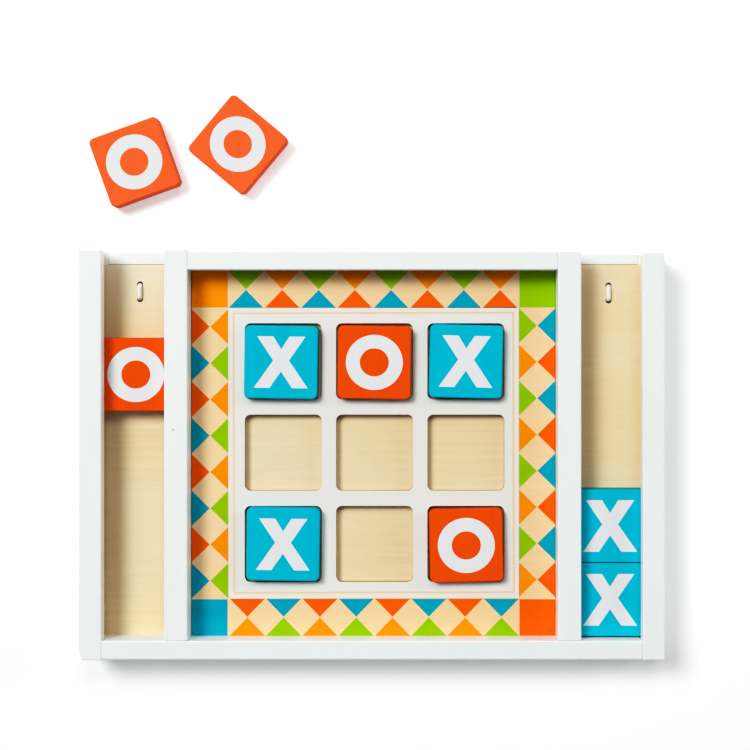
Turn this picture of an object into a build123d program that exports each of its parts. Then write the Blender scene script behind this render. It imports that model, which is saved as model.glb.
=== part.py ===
"""Tic tac toe set: a wooden tray with a game deck, two tile channels and ten tiles.

Millimetres, +Z up. Z 0 is the table top. X runs across the tray, from one tile channel to the
other, and Y runs along the channels, towards their open ends. The origin is the middle of the
laid-out set's footprint: the tray, and the two tiles that lie on the table beyond it. Every
piece is drawn about the tray's own centre and moved to the set's frame as it is written out.
"""
import os
from math import cos, radians, sin

from build123d import *

# ---- Tiles ------------------------------------------------------------------------------
TILE_SIDE = 40.0
TILE_THICKNESS = 10.0
TILE_CORNER_RADIUS = 3.0
TILE_EDGE_RADIUS = 0.9

# ---- Tray: heights ----------------------------------------------------------------------
TRAY_HEIGHT = 26.0
FLOOR_RECESS = 3.0            # the floor panel stands this far above the table
FLOOR_THICKNESS = 4.0
DECK_THICKNESS = 4.5
TILE_HEADROOM = 1.0           # between a tile in a channel and the lip over it

# ---- Tray: plan -------------------------------------------------------------------------
# The rails are cut and set by hand, so the two sides differ a little: -1 is left, 1 is right.
TRAY_EDGE_X = 157.7
OUTER_RAIL_WIDTH = {-1: 12.3, 1: 11.7}
INNER_FACE_X = {-1: 99.1, 1: 100.4}      # the inner rails' faces towards the game deck
INNER_RAIL_WIDTH = 12.5
LIP_OVERHANG = 3.8            # how far a lip reaches over the tiles
WELL_FRONT_Y = -99.75
WELL_BACK_Y = 100.0
BOTTOM_RAIL_FRONT_Y = -109.7
TOP_RAIL_BACK_Y = 110.0
OUTER_RAIL_FRONT_Y = {-1: -110.2, 1: -110.0}
OUTER_RAIL_BACK_Y = {-1: 110.9, 1: 109.5}
INNER_RAIL_BACK_Y = {-1: 111.2, 1: 110.1}
SILL_BACK_Y = {-1: 110.5, 1: 109.5}

# ---- Joinery ----------------------------------------------------------------------------
FLOOR_TONGUE_X = 7.5          # how deep the floor panel lies in the outer rails
FLOOR_TONGUE_FRONT = 5.0      # and in the bottom rail
FLOOR_BACK_Y = 103.55         # the panel's edge at the open ends
SILL_FRONT_Y = 103.7
SILL_DROP = 0.1               # the sill's top lies just below the floor
SILL_EASED_EDGE = 0.4
GROOVE_CLEARANCE = 0.2        # at the bottom of each floor groove
EASED_EDGE = 0.7
RAIL_CORNER_RADIUS = 1.2
WORN_CORNER_X = 1.8           # the left rail's front corner is rubbed off at a slant
WORN_CORNER_Y = 5.2

# ---- Game deck --------------------------------------------------------------------------
DECK_SIZE_X = 198.9
DECK_SIZE_Y = 199.5
DECK_CENTRE_X = 0.75          # the deck lies nearer to the right inner rail
DECK_CENTRE_Y = 0.1
CELL_SIDE_X = 42.2
CELL_SIDE_Y = 41.7
CELL_PITCH = 50.0
CELL_CORNER_RADIUS = 3.3
CELLS_SHIFT_X = 0.55          # the cells are cut a little off the deck's centre
CELLS_SHIFT_Y = 0.4

# ---- Retaining cord loops ---------------------------------------------------------------
CORD_DIAMETER = 2.1
CORD_HOLE_DIAMETER = 3.3
CORD_HOLE_SPACING = 8.2
CORD_LEG_SPACING = 7.4
CORD_BEND_RADIUS = 1.6
CORD_FLOOR_GAP = 0.05
CORD_CENTRE_X = {-1: 127.9, 1: 130.0}
CORD_CENTRE_Y = {-1: 88.7, 1: 88.0}
KNOT_DIAMETER = 2.8
KNOT_LENGTH = 3.8

# ---- Brads ------------------------------------------------------------------------------
BRAD_DIAMETER = 1.2
BRAD_HEAD_DIAMETER = 1.9
BRAD_HEAD_HEIGHT = 0.5
BRAD_FILLER_DEPTH = 0.8       # each head is set below the surface and filled over
BRAD_BORE_CLEARANCE = 0.03    # all round each brad
FLOOR_BRAD_Y = (-80.0, 13.8, 88.0)
FLOOR_BRAD_INSET = 1.1        # from the web's face in the channel
FLOOR_BRAD_BITE = 3.0         # into the floor panel
CROSS_BRAD_BITE = 12.0        # into end grain
CORNER_BRAD_Z = (12.0, 21.0)
INNER_END_BRAD_Z = (12.0, 21.0)
TOP_RAIL_BRAD_Z = (10.0, 15.0)

# ---- Where the tiles lie ----------------------------------------------------------------
# name: (column, row, shift along X, shift along Y, turn in degrees); row 1 is the far row.
DECK_TILES = {
    "x_tile_1": (-1, 1, -0.72, -0.4, -0.8),
    "o_tile_1": (0, 1, 0.0, -0.5, -0.8),
    "x_tile_2": (1, 1, -0.1, 0.0, -1.3),
    "x_tile_3": (-1, -1, 0.33, 0.5, -0.7),
    "o_tile_2": (1, -1, 0.03, -0.05, 1.2),
}
# name: (centre X, centre Y)
CHANNEL_TILES = {
    "o_tile_3": (-128.4, 43.4),
    "x_tile_4": (129.55, -38.95),
    "x_tile_5": (129.5, -79.1),
}
# name: (centre X, centre Y, turn in degrees)
LOOSE_TILES = {
    "o_tile_4": (-130.6, 159.9, 19.8),
    "o_tile_5": (-73.8, 169.6, -39.8),
}

# ---- Levels and edges worked out from the above -----------------------------------------
FLOOR_Z = FLOOR_RECESS + FLOOR_THICKNESS
LIP_Z = FLOOR_Z + TILE_THICKNESS + TILE_HEADROOM
INNER_LIP_X = {side: face + INNER_RAIL_WIDTH for side, face in INNER_FACE_X.items()}
INNER_WEB_X = {side: lip - LIP_OVERHANG for side, lip in INNER_LIP_X.items()}
INNER_WEB_MID_X = {side: (INNER_FACE_X[side] + INNER_WEB_X[side]) / 2 for side in (-1, 1)}
OUTER_LIP_X = {side: TRAY_EDGE_X - width for side, width in OUTER_RAIL_WIDTH.items()}
OUTER_WEB_X = {side: lip + LIP_OVERHANG for side, lip in OUTER_LIP_X.items()}
BOTTOM_RAIL_MID_Y = (BOTTOM_RAIL_FRONT_Y + WELL_FRONT_Y) / 2
TOP_RAIL_MID_Y = (WELL_BACK_Y + TOP_RAIL_BACK_Y) / 2
FLOOR_GROOVE_FRONT_Y = WELL_FRONT_Y - FLOOR_TONGUE_FRONT
PAST = 1.0                    # a cut runs this far past the face it opens through


def rounded_reach(turn):
    """How far a tile reaches from its centre along Y when it lies turned by that angle."""
    angle = radians(abs(turn))
    straight = TILE_SIDE / 2 - TILE_CORNER_RADIUS
    return straight * (cos(angle) + sin(angle)) + TILE_CORNER_RADIUS


set_back_y = max(y + rounded_reach(turn) for _, y, turn in LOOSE_TILES.values())
tray_centre_y = -(min(OUTER_RAIL_FRONT_Y.values()) + set_back_y) / 2


def block(low, high):
    """A plain block between two corners."""
    size = [top - bottom for bottom, top in zip(low, high)]
    middle = [(top + bottom) / 2 for bottom, top in zip(low, high)]
    return Pos(*middle) * Box(*size)


def block_between(side, x_from, x_to, y_from, y_to, z_from, z_to):
    """A plain block on the left (-1) or right (1) side, with X measured outwards."""
    x_low, x_high = sorted((side * x_from, side * x_to))
    return block((x_low, y_from, z_from), (x_high, y_to, z_to))


def ease(shape, radius=EASED_EDGE):
    """Round every edge of a stick of wood."""
    return fillet(shape.edges(), radius)


def write(shape, node):
    """Write one node in the set's frame."""
    shape = Pos(0, tray_centre_y, 0) * shape
    shape.label = node
    export_step(shape, f"parts/{node}.step")


# ---- Brads ------------------------------------------------------------------------------
def brad(head, direction, length, clearance=0.0):
    """A round brad whose head's top is centred on `head`, driven along `direction`.

    With a clearance it is the bore that the brad sits in.
    """
    seat = Plane(origin=head, z_dir=direction).offset(-clearance)
    shank = extrude(seat * Circle(BRAD_DIAMETER / 2 + clearance), length + 2 * clearance)
    cap_height = BRAD_HEAD_HEIGHT + 2 * clearance
    return shank + extrude(seat * Circle(BRAD_HEAD_DIAMETER / 2 + clearance), cap_height)


def floor_brads(side, clearance=0.0):
    """Down through an inner rail into the floor panel."""
    head_z = TRAY_HEIGHT - BRAD_FILLER_DEPTH
    length = head_z - FLOOR_Z + FLOOR_BRAD_BITE
    head_x = side * (INNER_WEB_X[side] - FLOOR_BRAD_INSET)
    heads = [(head_x, y, head_z) for y in FLOOR_BRAD_Y]
    return [brad(head, (0, 0, -1), length, clearance) for head in heads]


def inner_end_brads(side, clearance=0.0):
    """Through the bottom rail into the front end of an inner rail."""
    head_y = BOTTOM_RAIL_FRONT_Y + BRAD_FILLER_DEPTH
    length = WELL_FRONT_Y - head_y + CROSS_BRAD_BITE
    heads = [(side * INNER_WEB_MID_X[side], head_y, z) for z in INNER_END_BRAD_Z]
    return [brad(head, (0, 1, 0), length, clearance) for head in heads]


def corner_brads(side, clearance=0.0):
    """Through an outer rail into the end of the bottom rail."""
    head_x = TRAY_EDGE_X - BRAD_FILLER_DEPTH
    length = head_x - OUTER_LIP_X[side] + CROSS_BRAD_BITE
    heads = [(side * head_x, BOTTOM_RAIL_MID_Y, z) for z in CORNER_BRAD_Z]
    return [brad(head, (-side, 0, 0), length, clearance) for head in heads]


def top_rail_brads(side, clearance=0.0):
    """From inside a channel, through an inner rail into the end of the top rail."""
    head_x = INNER_WEB_X[side] - BRAD_FILLER_DEPTH
    length = head_x - INNER_FACE_X[side] + CROSS_BRAD_BITE
    heads = [(side * head_x, TOP_RAIL_MID_Y, z) for z in TOP_RAIL_BRAD_Z]
    return [brad(head, (-side, 0, 0), length, clearance) for head in heads]


def bored(wood, side, *brad_groups):
    """The same wood with the bores of those brads in it."""
    for brad_group in brad_groups:
        for bore in brad_group(side, BRAD_BORE_CLEARANCE):
            wood -= bore
    return wood


# ---- Tray -------------------------------------------------------------------------------
def cord_holes(side):
    """The two holes that a cord loop passes through."""
    hole = Cylinder(CORD_HOLE_DIAMETER / 2, FLOOR_THICKNESS + 2 * PAST)
    half = CORD_HOLE_SPACING / 2
    centre_z = FLOOR_RECESS + FLOOR_THICKNESS / 2
    centre_x = side * CORD_CENTRE_X[side]
    centre_y = CORD_CENTRE_Y[side]
    return [Pos(centre_x, centre_y + step, centre_z) * hole for step in (-half, half)]


def make_base_panel():
    """The thin floor of the whole tray, let into grooves in the rails."""
    left_x, right_x = (
        side * (OUTER_LIP_X[side] + FLOOR_TONGUE_X - GROOVE_CLEARANCE) for side in (-1, 1)
    )
    front_y = FLOOR_GROOVE_FRONT_Y + GROOVE_CLEARANCE
    panel = block((left_x, front_y, FLOOR_RECESS), (right_x, FLOOR_BACK_Y, FLOOR_Z))
    for side in (-1, 1):
        for hole in cord_holes(side):
            panel -= hole
        panel = bored(panel, side, floor_brads)
    return panel


def worn_corner():
    """The sliver rubbed off the left outer rail's front corner, over its whole height."""
    edge_x, front_y = -TRAY_EDGE_X, OUTER_RAIL_FRONT_Y[-1]
    outline = Polyline(
        (edge_x - PAST, front_y - PAST),
        (edge_x + WORN_CORNER_X, front_y - PAST),
        (edge_x + WORN_CORNER_X, front_y),
        (edge_x, front_y + WORN_CORNER_Y),
        (edge_x - PAST, front_y + WORN_CORNER_Y),
        close=True,
    )
    return extrude(make_face(outline), TRAY_HEIGHT)


def make_outer_rail(side):
    """A side rail: a web, a lip over the channel and a groove for the floor panel."""
    front_y, back_y = OUTER_RAIL_FRONT_Y[side], OUTER_RAIL_BACK_Y[side]
    rail = block_between(side, OUTER_LIP_X[side], TRAY_EDGE_X, front_y, back_y, 0, TRAY_HEIGHT)
    round_ends = [back_y]
    if side < 0:
        rail -= worn_corner()
    else:
        round_ends.append(front_y)
    for y in round_ends:
        corner = Vector(side * TRAY_EDGE_X, y, TRAY_HEIGHT / 2)
        upright = rail.edges().filter_by(Axis.Z).sort_by_distance(corner)[0]
        rail = fillet(upright, RAIL_CORNER_RADIUS)
    rims = rail.edges().group_by(Axis.Z)
    rail = fillet(rims[0] + rims[-1], EASED_EDGE)
    inner_x = OUTER_LIP_X[side] - PAST
    tile_groove = block_between(
        side, inner_x, OUTER_WEB_X[side], WELL_FRONT_Y, back_y + PAST, FLOOR_Z, LIP_Z
    )
    floor_groove = block_between(
        side, inner_x, OUTER_LIP_X[side] + FLOOR_TONGUE_X, FLOOR_GROOVE_FRONT_Y, FLOOR_BACK_Y,
        FLOOR_RECESS, FLOOR_Z
    )
    return bored(rail - tile_groove - floor_groove, side, corner_brads)


def make_inner_rail(side):
    """A rail between the well and a channel, notched over the floor panel."""
    face_x, lip_x, back_y = INNER_FACE_X[side], INNER_LIP_X[side], INNER_RAIL_BACK_Y[side]
    rail = ease(block_between(side, face_x, lip_x, WELL_FRONT_Y, back_y, 0, TRAY_HEIGHT))
    floor_notch = block_between(
        side, face_x - PAST, lip_x + PAST, WELL_FRONT_Y - PAST, FLOOR_BACK_Y, -PAST, FLOOR_Z
    )
    tile_groove = block_between(
        side, INNER_WEB_X[side], lip_x + PAST, WELL_FRONT_Y - PAST, back_y + PAST, FLOOR_Z, LIP_Z
    )
    rail = rail - floor_notch - tile_groove
    return bored(rail, side, floor_brads, inner_end_brads, top_rail_brads)


def make_bottom_rail():
    """The cross rail that closes the channels and the well at the front."""
    left_x, right_x = -OUTER_LIP_X[-1], OUTER_LIP_X[1]
    rail = ease(block((left_x, BOTTOM_RAIL_FRONT_Y, 0), (right_x, WELL_FRONT_Y, TRAY_HEIGHT)))
    floor_groove = block(
        (left_x - PAST, FLOOR_GROOVE_FRONT_Y, FLOOR_RECESS),
        (right_x + PAST, WELL_FRONT_Y + PAST, FLOOR_Z),
    )
    rail -= floor_groove
    for side in (-1, 1):
        rail = bored(rail, side, corner_brads, inner_end_brads)
    return rail


def make_top_rail():
    """The short cross rail at the back of the well, between the inner rails."""
    left_x, right_x = -INNER_FACE_X[-1], INNER_FACE_X[1]
    rail = ease(block((left_x, WELL_BACK_Y, 0), (right_x, TOP_RAIL_BACK_Y, TRAY_HEIGHT)))
    floor_groove = block(
        (left_x - PAST, WELL_BACK_Y - PAST, FLOOR_RECESS),
        (right_x + PAST, FLOOR_BACK_Y, FLOOR_Z),
    )
    rail -= floor_groove
    for side in (-1, 1):
        rail = bored(rail, side, top_rail_brads)
    return rail


def make_sill(side):
    """The low strip across a channel's open end, which a tile slides over."""
    sill = block_between(
        side, INNER_LIP_X[side], OUTER_LIP_X[side], SILL_FRONT_Y, SILL_BACK_Y[side],
        0, FLOOR_Z - SILL_DROP
    )
    return ease(sill, SILL_EASED_EDGE)


def make_game_deck():
    """The board that lies in the well, with a grid of nine square cells cut through it."""
    outline = Rectangle(DECK_SIZE_X, DECK_SIZE_Y)
    cell = RectangleRounded(CELL_SIDE_X, CELL_SIDE_Y, CELL_CORNER_RADIUS)
    middle_cell = Pos(CELLS_SHIFT_X, CELLS_SHIFT_Y) * cell
    outline -= GridLocations(CELL_PITCH, CELL_PITCH, 3, 3) * middle_cell
    return Pos(DECK_CENTRE_X, DECK_CENTRE_Y, FLOOR_Z) * extrude(outline, DECK_THICKNESS)


def make_cord_loop(side):
    """An elastic cord through both holes: a bump over the floor, a knot under it."""
    radius = CORD_DIAMETER / 2
    centre_x, centre_y = side * CORD_CENTRE_X[side], CORD_CENTRE_Y[side]
    over_z = FLOOR_Z + radius + CORD_FLOOR_GAP
    under_z = FLOOR_RECESS - radius - CORD_FLOOR_GAP
    link = RectangleRounded(CORD_LEG_SPACING, over_z - under_z, CORD_BEND_RADIUS)
    link_plane = Plane(
        origin=(centre_x, centre_y, (over_z + under_z) / 2),
        x_dir=(0, 1, 0),
        z_dir=(1, 0, 0),
    )
    path = (link_plane * link).wire()
    section = Plane(origin=path @ 0, z_dir=path % 0) * Circle(radius)
    knot = Cylinder(KNOT_DIAMETER / 2, KNOT_LENGTH)
    knot = fillet(knot.edges(), KNOT_DIAMETER / 4)
    knot_z = FLOOR_RECESS - KNOT_DIAMETER / 2 - CORD_FLOOR_GAP
    knot = Pos(centre_x, centre_y, knot_z) * Rot(90, 0, 0) * knot
    return sweep(section, path=path) + knot


# ---- Tiles ------------------------------------------------------------------------------
def make_tile():
    """A square wooden tile standing on Z 0, with round corners and eased edges."""
    tile = extrude(RectangleRounded(TILE_SIDE, TILE_SIDE, TILE_CORNER_RADIUS), TILE_THICKNESS)
    rims = tile.edges().group_by(Axis.Z)
    return fillet(rims[0] + rims[-1], TILE_EDGE_RADIUS)


def tile_places():
    """Yield each tile's node and its place about the tray's centre."""
    for node, (column, row, shift_x, shift_y, turn) in DECK_TILES.items():
        x = DECK_CENTRE_X + CELLS_SHIFT_X + column * CELL_PITCH + shift_x
        y = DECK_CENTRE_Y + CELLS_SHIFT_Y + row * CELL_PITCH + shift_y
        yield node, Pos(x, y, FLOOR_Z) * Rot(0, 0, turn)
    for node, (x, y) in CHANNEL_TILES.items():
        yield node, Pos(x, y, FLOOR_Z)
    for node, (x, y, turn) in LOOSE_TILES.items():
        yield node, Pos(x, y, 0) * Rot(0, 0, turn)


def both_sides(make_brads):
    """One node that holds a group of brads from the left and the right side."""
    return Compound(children=make_brads(-1) + make_brads(1))


os.makedirs("parts", exist_ok=True)

write(make_base_panel(), "base_panel")
write(make_bottom_rail(), "bottom_rail")
write(make_top_rail(), "top_rail")
write(make_game_deck(), "game_deck")
for side_name, side in (("left", -1), ("right", 1)):
    write(make_outer_rail(side), f"{side_name}_outer_rail")
    write(make_inner_rail(side), f"{side_name}_inner_rail")
    write(make_sill(side), f"{side_name}_sill")
    write(make_cord_loop(side), f"{side_name}_cord_loop")

write(both_sides(floor_brads), "inner_rail_floor_brads")
write(both_sides(inner_end_brads), "inner_rail_end_brads")
write(both_sides(corner_brads), "outer_corner_brads")
write(both_sides(top_rail_brads), "top_rail_brads")

plain_tile = make_tile()
for node, place in tile_places():
    write(place * plain_tile, node)

print(f"tray centre at Y {tray_centre_y:.3f}, set reaches Y {set_back_y + tray_centre_y:.3f}")
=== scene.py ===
"""The looks of the tic tac toe set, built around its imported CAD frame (metres, +Z up)."""
from math import cos, pi, radians, sin, sqrt
from typing import NamedTuple

import bmesh
import bpy
from mathutils import Matrix, Vector


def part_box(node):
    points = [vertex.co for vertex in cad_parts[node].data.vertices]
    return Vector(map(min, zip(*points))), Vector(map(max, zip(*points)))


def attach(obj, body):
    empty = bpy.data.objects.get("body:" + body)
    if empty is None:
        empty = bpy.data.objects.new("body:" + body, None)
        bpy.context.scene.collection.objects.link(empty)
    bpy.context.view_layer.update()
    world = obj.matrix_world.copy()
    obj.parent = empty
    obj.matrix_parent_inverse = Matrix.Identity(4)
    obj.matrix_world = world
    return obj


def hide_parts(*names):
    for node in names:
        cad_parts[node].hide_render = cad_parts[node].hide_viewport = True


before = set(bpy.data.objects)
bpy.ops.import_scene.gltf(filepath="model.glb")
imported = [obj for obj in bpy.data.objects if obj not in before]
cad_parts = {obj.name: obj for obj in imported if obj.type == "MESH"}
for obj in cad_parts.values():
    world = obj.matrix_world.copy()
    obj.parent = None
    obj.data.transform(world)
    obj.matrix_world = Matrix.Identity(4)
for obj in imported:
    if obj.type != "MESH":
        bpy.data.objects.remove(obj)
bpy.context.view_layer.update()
MM = 0.001

# ---- Places, from the frame ---------------------------------------------------------------
TRAY = "tray"
TRAY_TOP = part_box("left_outer_rail")[1].z
FLOOR_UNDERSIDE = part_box("base_panel")[0].z
FLOOR_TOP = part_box("base_panel")[1].z
deck_low, deck_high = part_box("game_deck")
DECK_CENTRE = (deck_low + deck_high) / 2
DECK_OFFSET_Y = 0.1 * MM      # the deck's middle is this far behind the tray's
TRAY_Y = DECK_CENTRE.y - DECK_OFFSET_Y
DECK_TOP = deck_high.z
DECK_HALF_X = (deck_high.x - deck_low.x) / 2
DECK_HALF_Y = (deck_high.y - deck_low.y) / 2

# The tile grooves in the long rails: their walls lie between these, below the lip.
GROOVE_INNER_X = 107.7 * MM
GROOVE_OUTER_X = 149.9 * MM
GROOVE_TOP_Z = 18.05 * MM
GROOVE_FOOT_Z = FLOOR_TOP + 0.05 * MM
GROOVE_FRONT_Y = TRAY_Y - 99.7 * MM
GROOVE_BACK_Y = TRAY_Y + 109.4 * MM

# The brad in the left inner rail whose filler shows, on the rail's top.
FLOOR_BRAD_HEAD = 1.9 * MM    # across the head
FILLED_NAIL_Y = TRAY_Y + 13.8 * MM
FILLED_NAIL = (
    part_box("inner_rail_floor_brads")[0].x + FLOOR_BRAD_HEAD / 2, FILLED_NAIL_Y, TRAY_TOP
)
FILLER_RADIUS = 0.95 * MM

# The left channel's floor turns paler from the first place along Y to the second: a painted sheen.
SHEEN_STRETCH = (TRAY_Y + 70 * MM, TRAY_Y + 104 * MM)

# ---- Sizes of the printed work ------------------------------------------------------------
INK_ABOVE = 0.04 * MM         # a layer of ink stands this far above the wood
INK_BELOW = 0.03 * MM         # and reaches this far into it, so that no gap shows
CELL_SIDE_X = 42.2 * MM
CELL_SIDE_Y = 41.7 * MM
CELL_PITCH = 50.0 * MM
CELL_CORNER = 3.3 * MM
CORNER_STEPS = 10
MIDDLE_CELL = DECK_CENTRE + Vector((0.55 * MM, 0.4 * MM, 0.0))
PANEL_HALF = 79.5 * MM        # the white panel round the cells
LINE_CENTRE = 76.5 * MM       # the thin line of bare wood in the panel
LINE_WIDTH = 1.0 * MM
PANEL_SHIFT = Vector((0.1 * MM, 0.3 * MM))
PANEL_TURN = 0.15             # degrees: the panel is printed a little askew
BORDER_CELLS = 8
PATTERN_INSET = 0.42 * MM     # bare wood beside a border triangle's base, and between two tips
PANEL_INSET = 0.14 * MM       # and between the white panel and the triangles
CORNER_INSET = 0.4 * MM       # and between the panel's edge and a corner's square
BORDER_DRIFT = {"top": -0.3 * MM, "bottom": 0.45 * MM, "left": 0.25 * MM, "right": -0.4 * MM}

# ---- Signs on the tiles, in mm about the tile's centre --------------------------------------
X_SIGN = [
    (-13.2, 14.05), (-4.4, 14.05), (0.0, 7.05), (4.4, 14.05), (13.2, 14.05), (4.3, 0.95),
    (14.7, -14.05), (6.1, -14.05), (0.0, -5.05), (-6.1, -14.05), (-14.7, -14.05), (-4.3, 0.95),
]
O_OUTER = (31.0, 30.0)
O_INNER = (15.8, 15.3)
O_POINTS = 128

# Tiles that lie turned, in degrees; the others lie square to the tray.
TILE_TURNS = {
    "x_tile_1": -0.8, "o_tile_1": -0.8, "x_tile_2": -1.3, "x_tile_3": -0.7, "o_tile_2": 1.2,
    "o_tile_4": 19.8, "o_tile_5": -39.8,
}
GLARE_PALE_TILES = ("o_tile_4", "o_tile_5")     # painted paler than the others: painted glare from the bright table round them

# ---- Colours (linear) -----------------------------------------------------------------------
WHITE = (0.852, 0.902, 0.888)
DECK_WHITE = (0.792, 0.785, 0.744)
SIGN_WHITE = (0.760, 0.776, 0.786)
FLOOR_WOODS = ((0.840, 0.715, 0.480), (0.822, 0.660, 0.390), (0.742, 0.545, 0.285))
SHEEN_PALE_WOOD = (0.830, 0.750, 0.580)     # painted sheen: paler, at the left channel's open end
DECK_WOODS = ((0.900, 0.645, 0.375), (0.885, 0.605, 0.325), (0.835, 0.540, 0.265))
RAW_WOOD = (0.740, 0.560, 0.330)
# The core's darker wood is also painted shade in the holes and on the cut walls of the cells.
CORE_WOOD_AND_SHADE = (0.500, 0.320, 0.145)
FILLER = (0.560, 0.560, 0.470)
INKS = {
    "light_orange": (0.990, 0.270, 0.001),
    "green": (0.270, 0.500, 0.000),
    "teal": (0.000, 0.325, 0.445),
    "red_orange": (0.930, 0.125, 0.002),
}
TILE_TEAL = (0.000, 0.442, 0.600)
TILE_ORANGE = (0.850, 0.092, 0.003)
# painted glare: the loose tiles' orange, and its sides' colour below, are paler than the others
GLARE_PALE_ORANGE = (0.950, 0.145, 0.036)
TEAL_SHADED_SIDES = (0.000, 0.243, 0.330)    # painted shade: sides and rounded edges darker than the tops, here and in the next two
ORANGE_SHADED_SIDES = (0.470, 0.050, 0.002)
GLARE_PALE_ORANGE_SHADED_SIDES = (0.620, 0.060, 0.006)
CORD_WHITE = (0.900, 0.900, 0.870)
CORD_GREY = (0.760, 0.740, 0.680)
STEEL = (0.560, 0.560, 0.550)
TABLE_WHITE = (0.960, 0.960, 0.960)

# ---- Finishes -------------------------------------------------------------------------------
CLEAR_COAT = {"roughness": 0.50, "specular": 0.30}
SATIN = {"roughness": 0.33, "specular": 0.50}     # the tray's paint
MATT = {"roughness": 0.55, "specular": 0.12}      # the tiles' paint
DECK_INK = {"roughness": 0.45, "specular": 0.25}
SIGN_INK = {"roughness": 0.50, "specular": 0.25}
BRAID = {"roughness": 0.85, "specular": 0.20}
WIRE = {"roughness": 0.32, "specular": 0.50}
TABLE_TOP = {"roughness": 0.90, "specular": 0.10}


# ---- Wood patterns --------------------------------------------------------------------------
class Pattern(NamedTuple):
    """Noise that follows a grain, with its levels from low to high stretched to 0 to 1."""

    along: float              # changes per metre along the grain
    across: float             # and across it
    detail: float             # how many finer layers it has
    low: float = 0.0
    high: float = 1.0
    distortion: float = 0.0


# In clear-coated veneer:
TONE_BANDS = Pattern(along=6, across=26, detail=2, low=0.36, high=0.66, distortion=0.3)
LINE_PATCHES = Pattern(along=16, across=20, detail=1, low=0.42, high=0.64)
THIN_LINES = Pattern(along=14, across=430, detail=3, low=0.32, high=0.70)
FIBRES = Pattern(along=110, across=1500, detail=2, low=0.28, high=0.74)
GROWTH = Pattern(along=9, across=24, detail=1)
RINGS_IN_GROWTH = 5.0         # rings from the lowest level of growth to the highest
RING_LINE = 0.035             # half the width of a ring's dark line, where 1 is a whole ring

# How much each of them darkens the veneer:
LINES_LEAST = 0.14            # thin lines where the patches are faintest
LINES_MORE = 0.34             # and this much more where they are strongest
FIBRES_SHARE = 0.22
RINGS_SHARE = 0.13

VENEER = 0.25 * MM            # the pale face of a board, over its darker core, which is partly painted shade
CORE_FIBRES = 0.7             # the core's fibres have this share of its brightness
SHEEN_SHARE = 0.8              # the painted sheen's share of the colour where it is strongest
VENEER_RELIEF = 0.010 * MM

# Under paint, where it only just shows:
PAINTED_BANDS = Pattern(along=16, across=144, detail=4, low=0.34, high=0.68, distortion=0.6)
PAINTED_FIBRES = Pattern(along=42, across=1428, detail=5, low=0.30, high=0.72)
FIBRES_IN_RELIEF = 0.6        # the rest of the relief is the roller's stipple
PAINT_RELIEF = 0.010 * MM
PAINT_STIPPLE = 900.0         # the roller's dots per metre
RAIL_RELIEF = 0.012 * MM
RAIL_STIPPLE = 800.0
STIPPLE_DETAIL = 2.0
RAIL_WANDER = 0.012           # how much lighter and darker than its own colour a rail's paint gets
RAW_FIBRES = 0.88             # bare fibres have this share of the wood's brightness
SIDE_SHADE_STARTS = 0.95            # a side's painted shade starts where the face leans so far (its normal's Z)
SIDE_SHADE_FULL = 0.40              # and is full from here

# On the cords and the brads:
FUZZ = 3200.0                 # specks of it per metre
FUZZ_DETAIL = 2.0
FUZZ_SHEEN = 0.3
FUZZ_RELIEF = 0.02 * MM
SCRATCHES = (900.0, 900.0, 90.0)      # per metre, long along the wire
SCRATCH_DETAIL = 3.0
SCRATCH_SHADE = 0.8

# ---- The table ------------------------------------------------------------------------------
TABLE_HALF = 60.0             # metres
PAINTED_SHADE_HALF_X = 150.0 * MM      # painted shade: the table doesn't glow over the part that the tray covers
PAINTED_SHADE_HALF_Y = 100.0 * MM
TABLE_GLOW = 0.15             # painted light: the table glows, so that shadows on it are soft grey
BACK_GLOW = 0.20              # painted light added where the loose tiles lie, which lightens their shadows
BACK_GLOW_STRETCH = (TRAY_Y + 120 * MM, TRAY_Y + 145 * MM)    # comes up between these places
FAR_TABLE = (2.0, 6.0)        # metres: the table turns evenly white between these distances


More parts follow.
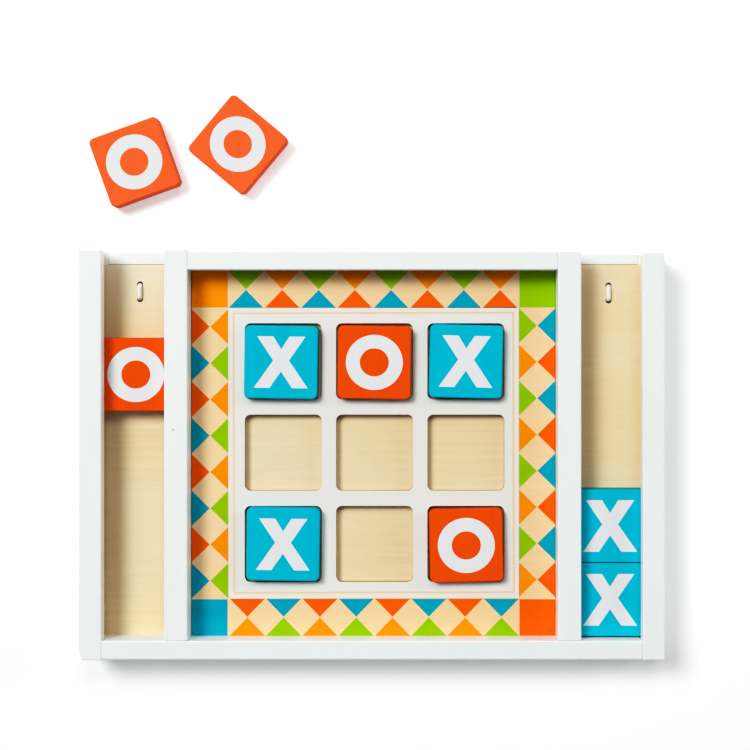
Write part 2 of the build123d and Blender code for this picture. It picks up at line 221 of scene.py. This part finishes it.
# ==== Materials ==============================================================================
class Paint:
    """One material's node tree, with short ways to add and link nodes."""

    def __init__(self, name, roughness, specular, gloss=(1.0, 1.0, 1.0)):
        self.material = bpy.data.materials.new(name)
        self.material.use_nodes = True
        self.tree = self.material.node_tree
        self.shader = self.tree.nodes["Principled BSDF"]
        self.shader.inputs["Roughness"].default_value = roughness
        self.shader.inputs["Specular IOR Level"].default_value = specular
        self.shader.inputs["Specular Tint"].default_value = (*gloss, 1.0)

    def add(self, kind, **settings):
        node = self.tree.nodes.new(kind)
        for key, value in settings.items():
            setattr(node, key, value)
        return node

    def link(self, output, target):
        self.tree.links.new(output, target)

    def place(self, stretch=(1, 1, 1)):
        """Object coordinates in metres, scaled along each axis."""
        coordinates = self.add("ShaderNodeTexCoord")
        mapping = self.add("ShaderNodeMapping")
        mapping.inputs["Scale"].default_value = stretch
        self.link(coordinates.outputs["Object"], mapping.inputs["Vector"])
        return mapping.outputs["Vector"]

    def place_parts(self):
        """The X, Y and Z of a point, in metres."""
        parts = self.add("ShaderNodeSeparateXYZ")
        self.link(self.place(), parts.inputs["Vector"])
        return parts.outputs["X"], parts.outputs["Y"], parts.outputs["Z"]

    def noise(self, per_metre, detail, distortion=0.0):
        """Noise that changes so many times per metre along X, Y and Z."""
        texture = self.add("ShaderNodeTexNoise")
        texture.inputs["Scale"].default_value = 1.0
        texture.inputs["Detail"].default_value = detail
        texture.inputs["Distortion"].default_value = distortion
        self.link(self.place(per_metre), texture.inputs["Vector"])
        return texture.outputs["Fac"]

    def pattern(self, kind, axis):
        """A wood pattern, with its grain along that axis."""
        per_metre = [kind.along if name == axis else kind.across for name in "XYZ"]
        return self.spread(self.noise(per_metre, kind.detail, kind.distortion), kind.low, kind.high)

    def stipple(self, per_metre, detail):
        """Fine noise that is the same along every axis."""
        return self.noise((per_metre, per_metre, per_metre), detail)

    def math(self, operation, first, second=None, clamp=False):
        node = self.add("ShaderNodeMath", operation=operation, use_clamp=clamp)
        for socket, value in zip(node.inputs, (first, second)):
            if value is None:
                continue
            if isinstance(value, (int, float)):
                socket.default_value = value
            else:
                self.link(value, socket)
        return node.outputs["Value"]

    def times(self, first, second):
        return self.math("MULTIPLY", first, second)

    def plus(self, first, second, clamp=False):
        return self.math("ADD", first, second, clamp)

    def from_whole(self, value):
        """How far a value is from the nearest whole number."""
        return self.math("PINGPONG", value, 0.5)

    def between(self, value, low, high):
        """1 where a value lies between low and high, and 0 elsewhere."""
        above = self.math("GREATER_THAN", value, low)
        below = self.math("LESS_THAN", value, high)
        return self.times(above, below)

    def spread(self, value, low, high):
        """A value between low and high stretched to 0 to 1, and held there outside."""
        node = self.add("ShaderNodeMapRange")
        node.inputs["From Min"].default_value = low
        node.inputs["From Max"].default_value = high
        self.link(value, node.inputs["Value"])
        return node.outputs["Result"]

    def mix(self, factor, first, second):
        node = self.add("ShaderNodeMix", data_type="RGBA")
        colours = [socket for socket in node.inputs if socket.type == "RGBA"]
        for socket, value in zip(colours, (first, second)):
            if isinstance(value, tuple):
                socket.default_value = (*value, 1.0)
            else:
                self.link(value, socket)
        self.link(factor, node.inputs["Factor"])
        return next(socket for socket in node.outputs if socket.type == "RGBA")

    def bump(self, height, depth):
        node = self.add("ShaderNodeBump")
        node.inputs["Strength"].default_value = 1.0
        node.inputs["Distance"].default_value = depth
        self.link(height, node.inputs["Height"])
        self.link(node.outputs["Normal"], self.shader.inputs["Normal"])

    def painted_relief(self, fibres, stipple, depth):
        """The fibres of the wood and the roller's stipple, both in the surface of the paint."""
        height = self.plus(
            self.times(fibres, FIBRES_IN_RELIEF), self.times(stipple, 1.0 - FIBRES_IN_RELIEF)
        )
        self.bump(height, depth)

    def colour(self, output):
        self.link(output, self.shader.inputs["Base Color"])


def shade(colour, factor):
    """The same colour, lighter or darker."""
    return tuple(min(part * factor, 1.0) for part in colour)


def bare_wood(name, tones, face_z, sheen_stretch=None):
    """Clear-coated veneer with its grain along X: tone bands, thin lines, fibres, growth rings.

    Below the board's face, in its holes and on its cut edges, the wood is darker: partly darker
    wood, partly painted shade. Between two places along Y, given as sheen_stretch, the left channel's
    floor turns gradually paler: a painted sheen.
    """
    paint = Paint(name, **CLEAR_COAT)
    fibres = paint.pattern(FIBRES, "X")
    growth = paint.times(paint.pattern(GROWTH, "X"), RINGS_IN_GROWTH)
    ring_lines = paint.spread(paint.from_whole(growth), RING_LINE, 0.0)
    strength = paint.plus(paint.times(paint.pattern(LINE_PATCHES, "X"), LINES_MORE), LINES_LEAST)
    lines = paint.times(paint.pattern(THIN_LINES, "X"), strength)
    tone = paint.plus(lines, paint.times(fibres, FIBRES_SHARE))
    tone = paint.plus(tone, paint.times(ring_lines, RINGS_SHARE), clamp=True)
    pale, middle, dark = tones
    face = paint.mix(tone, paint.mix(paint.pattern(TONE_BANDS, "X"), pale, middle), dark)
    place_x, place_y, place_z = paint.place_parts()
    # painted sheen: the floor turns paler towards the left channel's open end
    if sheen_stretch is not None:
        in_channel = paint.math("LESS_THAN", place_x, -GROOVE_INNER_X)
        painted_sheen = paint.times(paint.spread(place_y, *sheen_stretch), in_channel)
        face = paint.mix(paint.times(painted_sheen, SHEEN_SHARE), face, SHEEN_PALE_WOOD)
    # painted shade: below the face the wood is darker, in the holes and on the cut walls too
    in_core_and_shade = paint.math("LESS_THAN", place_z, face_z - VENEER)
    core_and_shade = paint.mix(fibres, CORE_WOOD_AND_SHADE, shade(CORE_WOOD_AND_SHADE, CORE_FIBRES))
    paint.colour(paint.mix(in_core_and_shade, face, core_and_shade))
    paint.bump(fibres, VENEER_RELIEF)
    return paint.material


def painted_wood(name, colour, finish, axis, wander, shaded_sides=None):
    """Paint or ink over wood: the grain shows faintly through, under a fine roller texture.

    The colour wanders that share lighter and darker with the grain. Where a face leans away from
    straight up, on a tile's flanks and rounded edges, shaded_sides gives a darker colour: painted
    shade.
    """
    gloss = tuple(part / max(colour) for part in colour)
    paint = Paint(name, gloss=gloss, **finish)
    bands = paint.pattern(PAINTED_BANDS, axis)
    coat = paint.mix(bands, shade(colour, 1.0 + wander), shade(colour, 1.0 - wander))
    if shaded_sides is not None:
        # painted shade: the faces that lean away from straight up get the darker colour
        normal = paint.add("ShaderNodeSeparateXYZ")
        paint.link(paint.add("ShaderNodeNewGeometry").outputs["Normal"], normal.inputs["Vector"])
        on_shaded_side = paint.spread(normal.outputs["Z"], SIDE_SHADE_STARTS, SIDE_SHADE_FULL)
        coat = paint.mix(on_shaded_side, coat, shaded_sides)
    paint.colour(coat)
    fibres = paint.pattern(PAINTED_FIBRES, axis)
    paint.painted_relief(fibres, paint.stipple(PAINT_STIPPLE, STIPPLE_DETAIL), PAINT_RELIEF)
    return paint.material


def tile_paint(name, colour, shaded_sides):
    """The matt paint of a playing tile, with painted shade on its flanks and rounded edges."""
    return painted_wood(name, colour, MATT, "Y", wander=0.03, shaded_sides=shaded_sides)


def rail_paint(name):
    """White satin paint on a long rail; the walls of its tile groove are bare wood.

    On the left inner rail the filler over one brad's head shows through.
    """
    paint = Paint(name, **SATIN)
    bands = paint.pattern(PAINTED_BANDS, "Y")
    fibres = paint.pattern(PAINTED_FIBRES, "Y")
    white = paint.mix(bands, shade(WHITE, 1.0 + RAIL_WANDER), shade(WHITE, 1.0 - RAIL_WANDER))
    from_nail = paint.add("ShaderNodeVectorMath", operation="DISTANCE")
    from_nail.inputs[1].default_value = FILLED_NAIL
    paint.link(paint.place(), from_nail.inputs[0])
    in_filler = paint.spread(from_nail.outputs["Value"], FILLER_RADIUS, FILLER_RADIUS / 2)
    white = paint.mix(in_filler, white, FILLER)
    raw = paint.mix(fibres, RAW_WOOD, shade(RAW_WOOD, RAW_FIBRES))
    place_x, place_y, place_z = paint.place_parts()
    on_web = paint.between(paint.math("ABSOLUTE", place_x), GROOVE_INNER_X, GROOVE_OUTER_X)
    short_of_ends = paint.between(place_y, GROOVE_FRONT_Y, GROOVE_BACK_Y)
    under_lip = paint.between(place_z, GROOVE_FOOT_Z, GROOVE_TOP_Z)
    in_groove = paint.times(paint.times(on_web, under_lip), short_of_ends)
    paint.colour(paint.mix(in_groove, white, raw))
    paint.painted_relief(fibres, paint.stipple(RAIL_STIPPLE, STIPPLE_DETAIL), RAIL_RELIEF)
    return paint.material


def elastic(name):
    """White braided elastic, with greyer thread mixed in."""
    paint = Paint(name, **BRAID)
    paint.shader.inputs["Sheen Weight"].default_value = FUZZ_SHEEN
    fuzz = paint.stipple(FUZZ, FUZZ_DETAIL)
    paint.colour(paint.mix(fuzz, CORD_WHITE, CORD_GREY))
    paint.bump(fuzz, FUZZ_RELIEF)
    return paint.material


def drawn_wire(name):
    """Bright drawn steel wire."""
    paint = Paint(name, **WIRE)
    paint.shader.inputs["Metallic"].default_value = 1.0
    scratches = paint.noise(SCRATCHES, SCRATCH_DETAIL)
    paint.colour(paint.mix(scratches, STEEL, shade(STEEL, SCRATCH_SHADE)))
    return paint.material


def table_paint(name):
    """A white table that glows as painted light, more behind the tray, and white to the horizon.
    Under the tray it doesn't glow, which leaves painted shade there.
    """
    paint = Paint(name, **TABLE_TOP)
    paint.shader.inputs["Base Color"].default_value = (*TABLE_WHITE, 1.0)
    paint.shader.inputs["Emission Color"].default_value = (*TABLE_WHITE, 1.0)
    place_x, place_y, _ = paint.place_parts()
    # painted shade: no glow under the tray; painted light: more glow behind it
    from_tray = paint.math("ABSOLUTE", paint.math("SUBTRACT", place_y, TRAY_Y))
    beyond_x = paint.math("GREATER_THAN", paint.math("ABSOLUTE", place_x), PAINTED_SHADE_HALF_X)
    beyond_y = paint.math("GREATER_THAN", from_tray, PAINTED_SHADE_HALF_Y)
    outside = paint.math("MAXIMUM", beyond_x, beyond_y)
    behind = paint.spread(place_y, *BACK_GLOW_STRETCH)
    near = paint.plus(paint.times(outside, TABLE_GLOW), paint.times(behind, BACK_GLOW))
    from_middle = paint.add("ShaderNodeVectorMath", operation="LENGTH")
    paint.link(paint.place(), from_middle.inputs[0])
    far = paint.spread(from_middle.outputs["Value"], *FAR_TABLE)
    paint.link(paint.plus(near, far), paint.shader.inputs["Emission Strength"])
    return paint.material


rails_along_y = rail_paint("white_paint_long")
rails_along_x = painted_wood("white_paint_cross", WHITE, SATIN, "X", RAIL_WANDER)
floor_wood = bare_wood("floor_wood", FLOOR_WOODS, FLOOR_TOP, sheen_stretch=SHEEN_STRETCH)
deck_wood = bare_wood("deck_wood", DECK_WOODS, DECK_TOP)
deck_white = painted_wood("deck_white_ink", DECK_WHITE, DECK_INK, "X", wander=0.008)
teal_paint = tile_paint("teal_paint", TILE_TEAL, TEAL_SHADED_SIDES)
orange_paint = tile_paint("orange_paint", TILE_ORANGE, ORANGE_SHADED_SIDES)
glare_pale_orange_paint = tile_paint("glare_pale_orange_paint", GLARE_PALE_ORANGE, GLARE_PALE_ORANGE_SHADED_SIDES)
sign_ink = painted_wood("sign_white_ink", SIGN_WHITE, SIGN_INK, "Y", wander=0.012)
inks = {
    ink: painted_wood(f"{ink}_ink", colour, DECK_INK, "X", wander=0.03)
    for ink, colour in INKS.items()
}
cord_material = elastic("elastic_braid")
brad_material = drawn_wire("brad_wire")


def dress(node, material):
    """Give a CAD node its finished material."""
    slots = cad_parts[node].data.materials
    slots.clear()
    slots.append(material)


def dress_frame():
    """Finish the rails, boards, tiles and brads; the cord loops are replaced instead."""
    for side in ("left", "right"):
        dress(f"{side}_outer_rail", rails_along_y)
        dress(f"{side}_inner_rail", rails_along_y)
        dress(f"{side}_sill", rails_along_x)
    for node in ("bottom_rail", "top_rail"):
        dress(node, rails_along_x)
    dress("base_panel", floor_wood)
    dress("game_deck", deck_wood)
    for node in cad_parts:
        if node.startswith("x_tile"):
            dress(node, teal_paint)
        elif node in GLARE_PALE_TILES:
            dress(node, glare_pale_orange_paint)
        elif node.startswith("o_tile"):
            dress(node, orange_paint)
        elif node.endswith("_brads"):
            dress(node, brad_material)


# ==== Printed layers =========================================================================
def ink_layer(name, outlines, surface):
    """A thin closed slab of ink that fills the outlines, on wood at that height."""
    curve = bpy.data.curves.new(name, "CURVE")
    curve.dimensions = "2D"
    curve.fill_mode = "BOTH"
    curve.extrude = (INK_ABOVE + INK_BELOW) / 2
    for outline in outlines:
        spline = curve.splines.new("POLY")
        spline.points.add(len(outline) - 1)
        for point, (x, y) in zip(spline.points, outline):
            point.co = (x, y, 0.0, 1.0)
        spline.use_cyclic_u = True
    holder = bpy.data.objects.new(name, curve)
    bpy.context.scene.collection.objects.link(holder)
    bpy.context.view_layer.update()
    mesh = bpy.data.meshes.new_from_object(holder)
    bpy.data.objects.remove(holder)
    bpy.data.curves.remove(curve)
    mesh.transform(Matrix.Translation((0.0, 0.0, surface + (INK_ABOVE - INK_BELOW) / 2)))
    return mesh


def rectangle(x_low, x_high, y_low, y_high):
    return [(x_low, y_low), (x_high, y_low), (x_high, y_high), (x_low, y_high)]


def rounded_rectangle(centre_x, centre_y, width, depth, radius):
    """The outline of a rectangle with round corners."""
    points = []
    for quarter, (sign_x, sign_y) in enumerate(((1, 1), (-1, 1), (-1, -1), (1, -1))):
        for step in range(CORNER_STEPS + 1):
            angle = (quarter + step / CORNER_STEPS) * pi / 2
            x = centre_x + sign_x * (width / 2 - radius) + radius * cos(angle)
            y = centre_y + sign_y * (depth / 2 - radius) + radius * sin(angle)
            points.append((x, y))
    return points


def turned_square(centre, half, degrees):
    """The outline of a square that lies turned."""
    square = [Vector(corner) for corner in rectangle(-half, half, -half, half)]
    turn = Matrix.Rotation(radians(degrees), 2)
    return [tuple(centre + turn @ corner) for corner in square]


def ellipse(width, height):
    turns = [2 * pi * step / O_POINTS for step in range(O_POINTS)]
    return [(width / 2 * cos(turn), height / 2 * sin(turn)) for turn in turns]


def add_piece(name, mesh, body, material):
    """A piece of the looks that rides on a body of the CAD."""
    piece = bpy.data.objects.new(name, mesh)
    bpy.context.scene.collection.objects.link(piece)
    mesh.materials.clear()
    mesh.materials.append(material)
    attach(piece, body)
    return piece


def print_panel():
    """White ink round the cells, with a thin square line of bare wood left in it."""
    centre = DECK_CENTRE.xy + PANEL_SHIFT
    outside = LINE_CENTRE + LINE_WIDTH / 2
    inside = LINE_CENTRE - LINE_WIDTH / 2
    outlines = [turned_square(centre, half, PANEL_TURN) for half in (PANEL_HALF, outside, inside)]
    for column in (-1, 0, 1):
        for row in (-1, 0, 1):
            cell_x = MIDDLE_CELL.x + column * CELL_PITCH
            cell_y = MIDDLE_CELL.y + row * CELL_PITCH
            outlines.append(rounded_rectangle(cell_x, cell_y, CELL_SIDE_X, CELL_SIDE_Y, CELL_CORNER))
    mesh = ink_layer("deck_panel_print", outlines, DECK_TOP)
    add_piece("deck_panel_print", mesh, TRAY, deck_white)


def border_triangles(side, number):
    """The outer and the inner triangle of one cell of the border, about the deck's centre."""
    pitch = 2 * PANEL_HALF / BORDER_CELLS
    middle = -PANEL_HALF + (number + 0.5) * pitch + BORDER_DRIFT[side]
    half_base = pitch / 2 - PATTERN_INSET
    outer_base = DECK_HALF_Y if side in ("top", "bottom") else DECK_HALF_X
    inner_base = PANEL_HALF + PANEL_INSET
    apex = (outer_base + inner_base) / 2
    gap = PATTERN_INSET / 2
    outer = [(middle - half_base, outer_base), (middle + half_base, outer_base), (middle, apex + gap)]
    inner = [(middle - half_base, inner_base), (middle + half_base, inner_base), (middle, apex - gap)]
    turned = {
        "top": lambda u, v: (u, v),
        "bottom": lambda u, v: (u, -v),
        "left": lambda u, v: (-v, -u),
        "right": lambda u, v: (v, -u),
    }[side]
    return [[turned(u, v) for u, v in triangle] for triangle in (outer, inner)]


# Colours of the outer and the inner triangles in turn, from the left or from the top.
BORDER_COLOURS = {
    "top": (("green", "light_orange"), ("teal", "red_orange")),
    "bottom": (("light_orange", "green"), ("red_orange", "teal")),
    "left": (("red_orange", "teal"), ("light_orange", "green")),
    "right": (("teal", "red_orange"), ("green", "light_orange")),
}
CORNER_COLOURS = {
    (-1, 1): "light_orange", (1, 1): "green", (-1, -1): "teal", (1, -1): "red_orange",
}


def print_border():
    """Four corner squares and eight pairs of triangles a side, one layer for each ink."""
    shapes = {ink: [] for ink in INKS}
    for (sign_x, sign_y), ink in CORNER_COLOURS.items():
        near = PANEL_HALF + CORNER_INSET
        xs = sorted((sign_x * near, sign_x * DECK_HALF_X))
        ys = sorted((sign_y * near, sign_y * DECK_HALF_Y))
        shapes[ink].append(rectangle(*xs, *ys))
    for side, colours in BORDER_COLOURS.items():
        for number in range(BORDER_CELLS):
            for triangle, pair in zip(border_triangles(side, number), colours):
                shapes[pair[number % 2]].append(triangle)
    for ink, outlines in shapes.items():
        moved = [[(x + DECK_CENTRE.x, y + DECK_CENTRE.y) for x, y in outline] for outline in outlines]
        mesh = ink_layer(f"deck_{ink}_print", moved, DECK_TOP)
        add_piece(f"deck_{ink}_print", mesh, TRAY, inks[ink])


def print_signs():
    """A white X or O on the top of every tile."""
    for node in sorted(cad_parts):
        if "_tile_" not in node:
            continue
        low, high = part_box(node)
        turn = Matrix.Rotation(radians(TILE_TURNS.get(node, 0.0)), 4, "Z")
        place = Matrix.Translation(((low.x + high.x) / 2, (low.y + high.y) / 2, 0.0)) @ turn
        if node.startswith("x"):
            outlines = [X_SIGN]
        else:
            outlines = [ellipse(*O_OUTER), ellipse(*O_INNER)]
        scaled = [[(x * MM, y * MM) for x, y in outline] for outline in outlines]
        name = node.replace("tile", "sign")
        mesh = ink_layer(name, scaled, high.z)
        mesh.transform(place)
        add_piece(name, mesh, f"{node}_body", sign_ink)


# ==== Cord loops =============================================================================
CORD_RADIUS = 1.05 * MM
CORD_FLATTENING = 1.16        # the stretched elastic is this much wider than high
CORD_BEND = 1.6 * MM          # the radius of its corners
CORD_LEGS = 7.4 * MM          # between the middles of its two legs
CORD_GAP = 0.05 * MM          # between its lower run and the floor panel
LINK_SPACING = 0.08 * MM      # between points along it
BRAID_STRANDS = 8
BRAID_PITCH = 2.6 * MM
BRAID_RELIEF = 0.11           # the grooves are this share of the radius deep
AROUND = 40                   # points around it


def link_line(half_width, low, high):
    """Points along a closed link with round corners, each with the angle that it faces."""
    points = []
    left, right = -half_width + CORD_BEND, half_width - CORD_BEND
    bottom, top = low + CORD_BEND, high - CORD_BEND
    centres = [(right, top), (left, top), (left, bottom), (right, bottom)]
    corner_steps = round(CORD_BEND * pi / 2 / LINK_SPACING)
    for quarter, (u, v) in enumerate(centres):
        for step in range(corner_steps):
            angle = (quarter + step / corner_steps) * pi / 2
            points.append((u + CORD_BEND * cos(angle), v + CORD_BEND * sin(angle), angle))
        end = (quarter + 1) * pi / 2
        start_u, start_v = u + CORD_BEND * cos(end), v + CORD_BEND * sin(end)
        next_u, next_v = centres[(quarter + 1) % len(centres)]
        run_u, run_v = next_u - u, next_v - v
        steps = round(sqrt(run_u**2 + run_v**2) / LINK_SPACING)
        for step in range(steps):
            share = step / steps
            points.append((start_u + run_u * share, start_v + run_v * share, end))
    return points


def braid_height(turn, travel):
    """How far the braid stands out at a point: two crossing families of strands."""
    phase = BRAID_STRANDS / 2 * turn
    wave = 2 * pi * travel / BRAID_PITCH
    return max(abs(cos(phase + wave)), abs(cos(phase - wave)))


def close_tube(mesh_data, rings):
    """Join rings of vertices into a closed loop of quads."""
    for index, ring in enumerate(rings):
        following = rings[(index + 1) % len(rings)]
        for step in range(len(ring)):
            after = (step + 1) % len(ring)
            face = mesh_data.faces.new((ring[step], ring[after], following[after], following[step]))
            face.smooth = True


def braided_link(mesh_data, centre_x, centre_y, low, high):
    """The elastic from hole to hole, over the floor and back under it."""
    line = link_line(CORD_LEGS / 2, low + CORD_RADIUS, high - CORD_RADIUS)
    travel = 0.0
    rings = []
    for index, (u, v, angle) in enumerate(line):
        before_u, before_v, _ = line[index - 1]
        if index:
            travel += sqrt((u - before_u) ** 2 + (v - before_v) ** 2)
        ring = []
        for step in range(AROUND):
            turn = 2 * pi * step / AROUND
            relief = 1.0 - BRAID_RELIEF * (1.0 - braid_height(turn, travel))
            radius = CORD_RADIUS * relief
            outwards = radius * cos(turn)
            x = centre_x + CORD_FLATTENING * radius * sin(turn)
            y = centre_y + u + outwards * cos(angle)
            z = v + outwards * sin(angle)
            ring.append(mesh_data.verts.new((x, y, z)))
        rings.append(ring)
    close_tube(mesh_data, rings)


KNOT_STRAND = 0.62 * MM       # the radius of the tied, pulled thin elastic
KNOT_REACH_X = 1.0 * MM       # about half the size of the knot's centre line
KNOT_REACH_Y = 1.5 * MM
KNOT_REACH_Z = 0.55 * MM
KNOT_DROP = 1.4 * MM          # its middle is this far below the floor panel
KNOT_STEPS = 160
KNOT_AROUND = 16
KNOT_AHEAD = 0.01             # radians: the strand's direction is taken this far ahead


def knot_point(turn, centre):
    """A point on the centre line of the knot, a trefoil."""
    x = (sin(turn) + 2 * sin(2 * turn)) / 3 * KNOT_REACH_X
    y = (cos(turn) - 2 * cos(2 * turn)) / 3 * KNOT_REACH_Y
    z = -sin(3 * turn) * KNOT_REACH_Z
    return centre + Vector((x, y, z))


def tie_knot(mesh_data, centre):
    """The tied ends of the elastic, under the floor."""
    rings = []
    for index in range(KNOT_STEPS):
        turn = 2 * pi * index / KNOT_STEPS
        here = knot_point(turn, centre)
        ahead = knot_point(turn + KNOT_AHEAD, centre)
        forward = (ahead - here).normalized()
        across = forward.cross(Vector((0, 0, 1))).normalized()
        up = across.cross(forward)
        ring = []
        for step in range(KNOT_AROUND):
            angle = 2 * pi * step / KNOT_AROUND
            offset = across * cos(angle) + up * sin(angle)
            ring.append(mesh_data.verts.new(here + offset * KNOT_STRAND))
        rings.append(ring)
    close_tube(mesh_data, rings)


def make_cord_loop(side):
    """One channel's braided loop and its knot, in place of the plain CAD one."""
    node = f"{side}_cord_loop"
    low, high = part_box(node)
    mesh_data = bmesh.new()
    centre_x, centre_y = (low.x + high.x) / 2, (low.y + high.y) / 2
    cord_low = FLOOR_UNDERSIDE - 2 * CORD_RADIUS - CORD_GAP
    braided_link(mesh_data, centre_x, centre_y, cord_low, high.z)
    tie_knot(mesh_data, Vector((centre_x, centre_y, FLOOR_UNDERSIDE - KNOT_DROP)))
    bmesh.ops.recalc_face_normals(mesh_data, faces=mesh_data.faces)
    mesh = bpy.data.meshes.new(f"{side}_elastic")
    mesh_data.to_mesh(mesh)
    mesh_data.free()
    piece = add_piece(f"{side}_elastic", mesh, TRAY, cord_material)
    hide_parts(node)


# ==== Stage ==================================================================================
# The camera looks straight down. Its frame is a little off its axis, as a shift lens gives.
FRAME_WIDTH = 403.35 * MM     # of the plane of the rails' tops
CAMERA_HEIGHT = 800.0 * MM    # above that plane
SENSOR_WIDTH = 36.0
FRAME_CENTRE = Vector((1.9 * MM, TRAY_Y + 43.4 * MM, TRAY_TOP))
SHIFT_X = -0.05
SHIFT_Y = -0.055
CLIP_NEAR = 0.01              # metres
CLIP_FAR = 50.0


def make_camera():
    """The camera, straight above the tray, with its frame shifted."""
    camera = bpy.data.cameras.new("camera")
    camera.sensor_width = SENSOR_WIDTH
    camera.lens = SENSOR_WIDTH * CAMERA_HEIGHT / FRAME_WIDTH
    camera.shift_x = SHIFT_X
    camera.shift_y = SHIFT_Y
    camera.clip_start = CLIP_NEAR
    camera.clip_end = CLIP_FAR
    holder = bpy.data.objects.new("camera", camera)
    offset = Vector((-SHIFT_X * FRAME_WIDTH, -SHIFT_Y * FRAME_WIDTH, CAMERA_HEIGHT))
    holder.location = FRAME_CENTRE + offset
    bpy.context.scene.collection.objects.link(holder)
    bpy.context.scene.camera = holder


# Places are from the middle of the tray, in metres, and powers in watts.
LIGHTS = {
    "key": {"place": (-2.34, 1.95, 3.9), "size": 1.9, "power": 188.0},
    "back": {"place": (0.45, 2.55, 3.6), "size": 1.4, "power": 33.0},
    "fill": {"place": (2.7, 1.05, 1.05), "size": 1.2, "power": 20.0},
}


def make_light(name, place, size, power):
    """A square soft light, placed about the tray's centre and aimed at it."""
    light = bpy.data.lights.new(name, "AREA")
    light.shape = "SQUARE"
    light.size = size
    light.energy = power
    holder = bpy.data.objects.new(name, light)
    holder.location = Vector(place) + Vector((0.0, TRAY_Y, 0.0))
    holder.rotation_euler = (-Vector(place)).to_track_quat("-Z", "Y").to_euler()
    bpy.context.scene.collection.objects.link(holder)


SKY_STRENGTH = 0.118
WALL_TOP = 0.2                # the sine of the elevation at which the studio's white wall ends
WALL_FADE = 0.1               # and of the one at which it starts to fade


def make_sky():
    """Even soft light from above, with the studio's white wall low down all round."""
    world = bpy.data.worlds.new("studio")
    world.use_nodes = True
    tree = world.node_tree
    background = tree.nodes["Background"]
    background.inputs["Color"].default_value = (1.0, 1.0, 1.0, 1.0)
    direction = tree.nodes.new("ShaderNodeTexCoord")
    parts = tree.nodes.new("ShaderNodeSeparateXYZ")
    fade = tree.nodes.new("ShaderNodeMapRange")
    fade.inputs["From Min"].default_value = WALL_FADE
    fade.inputs["From Max"].default_value = WALL_TOP
    fade.inputs["To Min"].default_value = 1.0
    fade.inputs["To Max"].default_value = SKY_STRENGTH
    tree.links.new(direction.outputs["Generated"], parts.inputs["Vector"])
    tree.links.new(parts.outputs["Z"], fade.inputs["Value"])
    tree.links.new(fade.outputs["Result"], background.inputs["Strength"])
    bpy.context.scene.world = world


def make_table():
    """The table top, which reaches to the horizon."""
    mesh = bpy.data.meshes.new("studio_floor")
    corners = rectangle(-TABLE_HALF, TABLE_HALF, -TABLE_HALF, TABLE_HALF)
    mesh.from_pydata([(x, y, 0.0) for x, y in corners], [], [(0, 1, 2, 3)])
    mesh.materials.append(table_paint("studio_floor"))
    floor = bpy.data.objects.new("studio_floor", mesh)
    bpy.context.scene.collection.objects.link(floor)


CONTRAST = 0.3                # how much steeper the middle tones get
CURVE_STEPS = 16
COMBINED_CURVE = 3            # after those of red, green and blue


def linear(tone):
    """The amount of light that a display tone from 0 to 1 stands for, by the sRGB formula."""
    return tone / 12.92 if tone <= 0.04045 else ((tone + 0.055) / 1.055) ** 2.4


def develop():
    """Develop the picture as a product photograph is: a gentle contrast curve on each channel."""
    settings = bpy.context.scene.view_settings
    settings.view_transform = "Standard"
    settings.use_curve_mapping = True
    curve = settings.curve_mapping.curves[COMBINED_CURVE]
    for step in range(1, CURVE_STEPS):
        tone = step / CURVE_STEPS
        developed = tone - CONTRAST * sin(2 * pi * tone) / (2 * pi)
        curve.points.new(linear(tone), linear(developed))
    settings.curve_mapping.update()


dress_frame()
print_panel()
print_border()
print_signs()
for cord_side in ("left", "right"):
    make_cord_loop(cord_side)
make_camera()
for light_name, light in LIGHTS.items():
    make_light(light_name, **light)
make_sky()
make_table()
develop()
